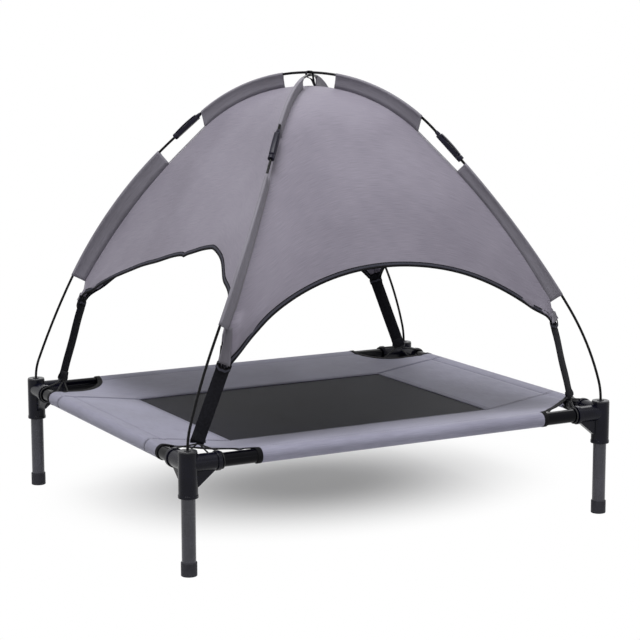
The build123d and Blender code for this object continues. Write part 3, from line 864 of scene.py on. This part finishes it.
# Handles (y, z) of the two curves of the left arch.
left_arch = (
    ((-end_y, tab_end), (-end_y, 0.498), (-0.153, 0.536), (-0.133, 0.536)),
    ((-0.133, 0.536), (-0.113, 0.536), (end_y + 0.014, 0.429), (end_y, tab_end)),
)
left_foot, foot_width, foot_shift = -0.228, 0.032, 0.020
nick, nick_width, nick_depth = -0.035, 0.007, 0.0030
hem_wave, wave_turn, wave_start, wave_center, wave_reach = 0.0012, 58, 1.2, -0.02, 0.13
tab_round = 0.010
hem_width = 0.010
facings = {"front": -BACK, "back": BACK, "left": -RIGHT, "right": RIGHT}


def seam_point(share):
    """Point on the back right seam, from the crown at 0 to the tab at 1."""
    length = share * seam_length
    if length > seam_end:
        return last_seam.lerp(tab, (length - seam_end) / (seam_length - seam_end))
    point, heading = pole_station(apex, crown_reach, length)
    return point + inward(heading) * sleeve_width


def over_tab(height):
    """The arch's edge turns smoothly into the end of the canopy's corner."""
    rise = height - tab_end
    return tab_end + (rise + hypot(rise, tab_round)) / 2


def hem_height(side, along):
    """Height of a panel's arch at a place along its side of the bed. The left arch is two curves
    that meet at its top, with a slight wave and a small nick in its edge."""
    if side in arch_tops:
        end = (tab.y if side == "right" else tab.x) - tab_flap
        rise = arch_tops[side] - arch_center
        half = end / sqrt(1 - ((tab_end - arch_center) / rise) ** 2)
        return over_tab(arch_center + rise * sqrt(max(1 - (along / half) ** 2, 0)))
    along -= foot_shift * bell(along - left_foot, foot_width)
    handles = left_arch[along > left_arch[0][3][0]]
    low, high = 0.0, 1.0
    for _ in range(20):
        share = (low + high) / 2
        rest = 1 - share
        weights = (rest**3, 3 * rest**2 * share, 3 * rest * share**2, share**3)
        x, z = (sum(w * handle[axis] for w, handle in zip(weights, handles)) for axis in (0, 1))
        if x < along:
            low = share
        else:
            high = share
    slack = hem_wave * sin(along * wave_turn + wave_start) * bell(along - wave_center, wave_reach)
    slack -= nick_depth * bell(along - nick, nick_width)
    return over_tab(z + slack)


def panel_point(side, share, across):
    """Point on a panel: share runs down its seams and across from one seam to the other."""
    seam, facing = seam_point(share), facings[side]
    if facing.x:
        return Vector((facing.x * seam.x, across * seam.y, seam.z))
    return Vector((across * seam.x, facing.y * seam.y, seam.z))


def hem_share(side, across):
    """How far down the seams the arch cuts this column off."""
    low, high = 0.2, 1.0
    for _ in range(30):
        share = (low + high) / 2
        point = panel_point(side, share, across)
        along = point.y if facings[side].x else point.x
        if point.z > hem_height(side, along) + hem_width * 0.3:
            low = share
        else:
            high = share
    return high


sink_depth = 0.004
crease_depth = 0.0022
crease_reach = 0.22
slow_billow = 0.004
fine_billow = 0.0009


def drape(side, share, across, point):
    """How far the cloth lies off the plain curve: it sinks a little and creases near its tabs."""
    sink = sink_depth * (1 - across**2) * sin(pi * min(share * 1.1, 1))
    crease = 0.0
    for end in (-1, 1):
        corner = panel_point(side, 1, end)
        reach = (point - corner).length
        strength = max(1 - reach / crease_reach, 0) ** 1.5 * min(reach / 0.03, 1)
        slant = atan2((1 - share) * seam_length, abs(across - end) * 0.35 + 0.001)
        crease += crease_depth * strength * sin(slant * 17 + end + len(side))
    billow = noise.noise(point * 5 + Vector((0, 0, len(side)))) * slow_billow
    billow += noise.noise(point * 16) * fine_billow
    edge = 1 - across**8
    return (crease + billow - sink) * edge * min(share * 4, 1)


def fade(value, full, none):
    """1 up to a value, then smoothly down to 0."""
    share = min(max((none - value) / (none - full), 0), 1)
    return share * share * (3 - 2 * share)


corner_pull = {"front_left": 0.015, "front_right": -0.008, "back_left": -0.003, "back_right": 0.0}
flat_height = {"front_left": 0.058, "front_right": 0.022, "back_left": 0.022, "back_right": 0.022}
pressed_most = 0.014
fold_depth = 0.0010
fold_turn = 1000  # in radians a metre, for folds 6.3 mm apart
point_drop = 0.007


def gathered(point):
    """The cloth of a canopy corner lies flat on its strap there, in small folds. It all fades out
    with the rise above the tab and the distance apart from the seam, in metres."""
    corner = ("front_" if point.y < 0 else "back_") + ("left" if point.x < 0 else "right")
    turn = Vector((*corners[corner], 1))
    rise = point.z - tab.z
    seam = tab.lerp(last_seam, rise / (last_seam.z - tab.z))
    away = point * turn - seam
    apart = Vector((away.x, away.y)).length
    flat = flat_height[corner]
    share = fade(rise, flat, flat + 0.030) * fade(apart, 0.018, 0.050)
    fold = fold_depth * sin(apart * fold_turn)
    fold *= fade(rise, 0.006, 0.050) * fade(apart, 0.010, 0.020)
    moved = strap_face * (min(-away.dot(strap_face), pressed_most) * share + fold)
    moved -= UP * point_drop * max(1 - (apart / 0.016) ** 2, 0) * fade(rise, 0, 0.030)
    pull = fade(rise, 0, 0.090) * fade(apart, 0.020, 0.110)
    moved -= strap_heading * corner_pull[corner] * pull
    return point + moved * turn


def canopy_panel(side):
    """Rows of points from the crown down to the arch."""
    level = UP.cross(facings[side])
    columns = [sin(pi / 2 * share) for share in span(-1, 1, 110)]
    ends = [hem_share(side, across) for across in columns]
    rows = []
    for step in span(0, 1, 64):
        row = []
        for across, end in zip(columns, ends):
            share = step * end
            point = panel_point(side, share, across)
            before = panel_point(side, max(share - 0.01, 0), across)
            after = panel_point(side, min(share + 0.01, 1), across)
            slope = (after - before).normalized()
            out = slope.cross(level)
            out *= 1 if out.dot(facings[side]) > 0 else -1
            row.append(gathered(point + out * drape(side, share, across, point)))
        rows.append(row)
    return rows


canopy_cloth = oxford_cloth("coated mauve grey oxford cloth", "#7A7582", "#8F8A97", 0.15)
hem_parts, hem_rows = [], []
hem_thickness = 0.0024
hem_overlap = 0.0005
hem_tape = tape_weave("black woven hem tape", "#0A0A0C", "#141416", 0.0012, 0.7)
tree = hem_tape.node_tree
ways = node(tree, "SeparateXYZ", (node(tree, "UVMap", uv_map="cut"),)).outputs
mid_tape = (pi - 2) * hem_thickness / 2 + hem_width / 2
off_middle = node(tree, "Math", (ways["Y"], mid_tape), operation="SUBTRACT")
stray = node(tree, "Math", (off_middle,), operation="ABSOLUTE")
line_half = {"From Min": 0.0018, "From Max": 0.0024, "To Min": 1, "To Max": 0}
pale_line = node(tree, "MapRange", {"Value": stray, **line_half})
two_tone = node(tree, "MixRGB", (pale_line, colour("#08080B"), colour("#42424C")))
plug(tree.nodes["Principled BSDF"], {"Base Color": two_tone})
hem_shift = hem_width / 2 - hem_overlap
hem_outline = [(x + hem_shift, y) for x, y in rounded_strip(hem_width, hem_thickness)]
for side in ("front", "back", "left", "right"):
    rows, facing = canopy_panel(side), facings[side]
    panel = woven(f"canopy_{side}", rows)
    faces = panel.data.polygons
    if faces[len(faces) // 2].normal.dot(facing + UP) < 0:
        panel.data.flip_normals()
    welded(panel)
    clothed(panel, canopy_cloth)
    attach(panel, "canopy")
    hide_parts(f"canopy_panel_{side}")

    hem = rows[-1]
    stations = []
    for place, above, tangent in zip(hem, rows[-3], headings(hem)):
        up_cloth = above - place
        up_cloth = (up_cloth - tangent * up_cloth.dot(tangent)).normalized()
        out = tangent.cross(up_cloth)
        out *= 1 if out.dot(facing) > 0 else -1
        stations.append((place - out * cloth / 2, up_cloth, out))
    hem_parts.append(swept("hem", hem_outline, stations))
    for rise in (0.0018, hem_width - 0.0028):
        line = [(place + up * rise, out * hem_thickness / 2) for place, up, out in stations[2:-2]]
        hem_rows.append(line)
wrap_outline = rounded_strip(0.009, 0.0018)
wrap_half, wrap_deep = 0.0128, 0.0044
for corner, (sx, sy) in corners.items():
    center = tab - strap_heading * (corner_pull[corner] - 0.005) - strap_face * 0.0006
    ring = []
    for turn in span(0, 2 * pi, 36)[:-1]:
        out = strap_across * cos(turn) * wrap_half + strap_face * sin(turn) * wrap_deep
        dip = strap_heading * (0.008 * max(sin(turn), 0) + 0.0008 * sin(turn * 7))
        out_way = (strap_across * cos(turn) * 0.4 + strap_face * sin(turn)).normalized()
        ring.append((center + out - dip, strap_heading, out_way))
    wrap = swept("wrap", wrap_outline, ring, closed=True)
    mirrored(wrap, sx, sy)
    hem_parts.append(wrap)
hem_piece = joined("hem_tape", hem_parts)
hem_piece.data.materials.append(hem_tape)
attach(hem_piece, "canopy")
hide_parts("hem_binding")

# ---- Pole sleeves ----
# Strips of the same cloth in a darker shade, folded round each pole and sewn shut along it, then
# sewn into the seam between two panels. They stop short of the crossing and of the joints.

sleeve_cloth = oxford_cloth("coated dark grey oxford cloth", "#706D76", "#84818B", 0.12)
rod_room = pole_radius + 0.0009
strip_half = 0.0007
sleeve_starts = (0.055, 0.370)
sleeve_ends = (0.246, None)
seam_starts = 0.0085
loop_opens = 0.9  # in radians, half of what the loop leaves open for the strip
slant = 0.013
piping_thickness = 0.0018
piping_lift = 0.0012
slack_lift = 0.0045
pleat_flat = 0.0008
pleat_height = 0.0042
# A teardrop: a loop round the pole that closes to a double strip.
sleeve_loop = [
    (-rod_room * cos(turn), rod_room * sin(turn))
    for turn in span(-pi + loop_opens, pi - loop_opens, 14)
]
strip_end = sleeve_width + 0.001
strip_edge = [(strip_end, strip_half), (strip_end * 0.66, strip_half * 0.8)]
strip_edge.append((seam_starts, strip_half))
sleeve_outline = [(x, -y) for x, y in strip_edge] + sleeve_loop + strip_edge[::-1]
pleats_half = 0.0115
folds = span(-pleats_half, pleats_half, 10)
pleats = [(x, pleat_flat + pleat_height * (step % 2)) for step, x in enumerate(folds)]
pleats += [(x, y - pleat_flat) for x, y in reversed(pleats)]
for corner, (sx, sy) in corners.items():
    height, reach = arches[corner]
    parts = []
    for start, end in zip(sleeve_starts, sleeve_ends):
        end = end or pole_length(height, reach) - strip_inset
        stations = []
        for length in span(start, end, 48):
            point, heading = pole_station(height, reach, length)
            seam = seam_point(min(length, seam_end) / seam_length)
            down = seam - point
            down -= heading * down.dot(heading)
            gap = down.length
            down.normalize()
            stations.append((point, down * gap / sleeve_width, heading.cross(down)))
        if start == sleeve_starts[0]:
            for past in (0.25, 0.6, 0.95):
                place = point + heading * slant * past + down * gap * past
                left = down * gap / sleeve_width * (1 - past)
                stations.append((place, left, heading.cross(down)))
        parts.append(swept("strip", sleeve_outline, stations))
    lift = slack_lift if corner == "front_left" else piping_lift
    piping = []
    for length in span(sleeve_ends[0] + slant, sleeve_starts[1] + 0.004, 12):
        point, heading = pole_station(height, reach, length)
        seam = seam_point(length / seam_length)
        piping.append(seam + (point - seam).normalized() * lift)
    parts.append(cord_line("piping", piping, piping_thickness))
    pulled = tab - strap_heading * (corner_pull[corner] - 0.008)
    stations = []
    first = 1 - flat_height[corner] / (last_seam.z - tab.z)
    for share in span(0, 1, 12):
        place = last_seam.lerp(pulled, first + (1 - first) * share)
        place += strap_face * (0.0026 * share - 0.0012)
        width = 0.5 + 0.42 * share + 0.05 * sin(share * 9)
        stations.append((place, strap_across * width, strap_face))
    parts.append(swept("pleats", pleats, stations[::-1]))
    sleeve = joined(f"pole_sleeve_{corner}", parts)
    sleeve.data.materials.append(sleeve_cloth)
    mirrored(sleeve, sx, sy)
    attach(sleeve, "canopy")
    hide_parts(f"canopy_sleeve_{corner}")

# ---- Straps ----
# 25 mm black polypropylene webbing. Its upper end is folded over the canopy's corner and sewn
# through it, and its lower end turns round the plastic bar and is sewn back on itself.

webbing = tape_weave("black polypropylene webbing", "#101015", "#1D1D23", 0.0022, 0.65)
strap_width = 0.025
strap_thickness = 0.0016
strap_outline = rounded_strip(strap_width, strap_thickness)
# The turn round the bar: (along the strap, off its face).
bar_turn = [(0.013, -0.0014), (0.006, -0.002), (0.0005, -0.0034), (-0.0042, -0.0028)]
bar_turn += [(-0.0052, 0), (-0.0042, 0.0028), (0.0005, 0.0032), (0.008, 0.0008)]
under_cloth = 0.0026
for corner, (sx, sy) in corners.items():
    route = [strap_foot + strap_heading * length + strap_face * off for length, off in bar_turn]
    for share in span(0.1, 0.97, 14):
        off = -under_cloth * share**3 + 0.0006 * sin(share * 9)
        route.append(strap_foot.lerp(tab, share) + strap_face * off)
    for rise in (0.006, 0.014, 0.022):
        seam = tab.lerp(last_seam, rise / (last_seam.z - tab.z))
        route.append(seam - strap_face * under_cloth)
    aims = zip(route, headings(route))
    stations = [(place, strap_across, aim.cross(strap_across)) for place, aim in aims]
    strap = swept(f"webbing_{corner}", strap_outline, stations)
    strap.data.materials.append(webbing)
    mirrored(strap, sx, sy)
    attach(strap, "canopy")
    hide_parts(f"strap_{corner}")
acetal = moulded("gloss black acetal", "#0C0C10", "#141418", 0.16, 0.002, 0.00002, 0.8)
finish_nodes("strap_bars", acetal)

# ---- Crown tie ----
# A narrow tape sewn into the canopy's top, a little to the right of the middle, and wrapped round
# both poles where they cross.

tie_half = 0.0085
tie_low = lower_apex - pole_radius - 0.0012
tie_high = apex + pole_radius + 0.0008
canopy_top = apex - sleeve_width
tie_lean = 0.012
# Round both poles (x, z), from the canopy's top and back to it.
tie_route = [
    (tie_lean + 0.0008, canopy_top - 0.002),
    (tie_lean * 0.7 + 0.0008, tie_low - 0.008),
    (tie_half - 0.0005, tie_low + 0.001),
    (tie_half - 0.0015, tie_high - 0.002),
    (0.0045, tie_high),
    (-0.0045, tie_high),
    (-tie_half + 0.0015, tie_high - 0.002),
    (-tie_half + 0.001, tie_low + 0.002),
    (-0.004, tie_low - 0.0012),
    (0.003, tie_low - 0.0022),
    (tie_lean * 0.7 - 0.0008, tie_low - 0.008),
    (tie_lean - 0.0008, canopy_top - 0.002),
]
route = [Vector((x, 0, z)) for x, z in tie_route]
stations = [(place, BACK, aim.cross(BACK)) for place, aim in zip(route, headings(route))]
tie = swept("crossing_tie", rounded_strip(0.008, 0.0012), stations)
tie.data.materials.append(hem_tape)
modified(tie, "SUBSURF", levels=1, render_levels=1)
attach(tie, "canopy")
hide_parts("crown_tie")

# ---- Stitching ----
# Lockstitch in polyester thread: charcoal where the cover's borders lap, its darkness partly
# painted shade along those lapped seams, the cloth's grey along its other seams, and black along
# both edges of the canopy's hem tape.


pitch = 0.0055
stitch_length = 0.0042
thread_thickness = 0.0009


def sewn(name, rows, material, body):
    """One piece from rows of stitches, each along a line of (point, lift off the cloth). A stitch
    is 4 mm long, and its thread is drawn twice as thick as a real one, so that it shows."""
    vertices, faces = [], []
    for line in rows:
        gone, due = 0.0, pitch / 2
        for (a, lift), (b, _) in zip(line, line[1:]):
            step = (b - a).length
            while due < gone + step:
                heading = (b - a).normalized()
                center = a + heading * (due - gone) + lift
                across = heading.cross(lift).normalized() * thread_thickness / 2
                rise = lift.normalized() * thread_thickness / 2
                half = heading * stitch_length / 2
                first = len(vertices)
                vertices += [center - half, center + half]
                vertices += [center + across, center + rise, center - across, center - rise]
                for side in range(4):
                    near, far = first + 2 + side, first + 2 + (side + 1) % 4
                    faces += [(first, near, far), (first + 1, far, near)]
                due += pitch
            gone += step
    mesh = bpy.data.meshes.new(name)
    mesh.from_pydata(vertices, [], faces)
    mesh.materials.append(material)
    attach(placed(name, mesh), body)


def thread(name, dark, light):
    """Spun polyester thread: matt, and mottled where its plies turn."""
    material, tree, shader = new_material(name)
    ply = shade_between(tree, speckle(tree, 0.0008), dark, light)
    plug(shader, {"Base Color": ply, "Roughness": 0.6, "Specular IOR Level": 0.25})
    return material


thread_lift = 0.0003
lap_rows = (0.002, 0.007)
mesh_seam_rows = (0.003, 0.009)


def on_cover(xs, ys):
    """A line across the cover, with the thread's lift off it."""
    return [(Vector((x, y, cover_height(x, y))), UP * thread_lift) for x, y in zip(xs, ys)]


hidden, laps = [], []
for sx, sy in corners.values():
    for away in lap_rows:
        xs = span(sx * mesh_high.x, sx * rail_x, 20)
        laps.append(on_cover(xs, [sy * (mesh_high.y + away)] * len(xs)))
for sign in (-1, 1):
    seams = [(mesh_high.x + away, mesh_high.y + away, mesh_high.x) for away in mesh_seam_rows]
    for x, y, half in (*seams, (rail_x - hem_reach, rail_y - hem_reach, rail_x - cut_x)):
        xs = span(-half, half, 40)
        hidden.append(on_cover(xs, [sign * y] * len(xs)))
        ys = span(-mesh_high.y, mesh_high.y, 40)
        hidden.append(on_cover([sign * x] * len(ys), ys))
# The charcoal thread on the laps is partly painted shade: it darkens the lapped seams.
sewn("lap_stitching", laps, thread("charcoal thread darkened as painted seam shade", "#3A3942", "#4C4B56"), "bed")
sewn("cover_stitching", hidden, thread("grey polyester thread", "#6B6A78", "#7C7B8A"), "bed")
sewn("hem_stitching", hem_rows, thread("black polyester thread", "#0B0B0D", "#18181B"), "canopy")

size = {"cad": [list(corner) for corner in cad_box]}
size["visual"] = [list(corner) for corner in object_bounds()]
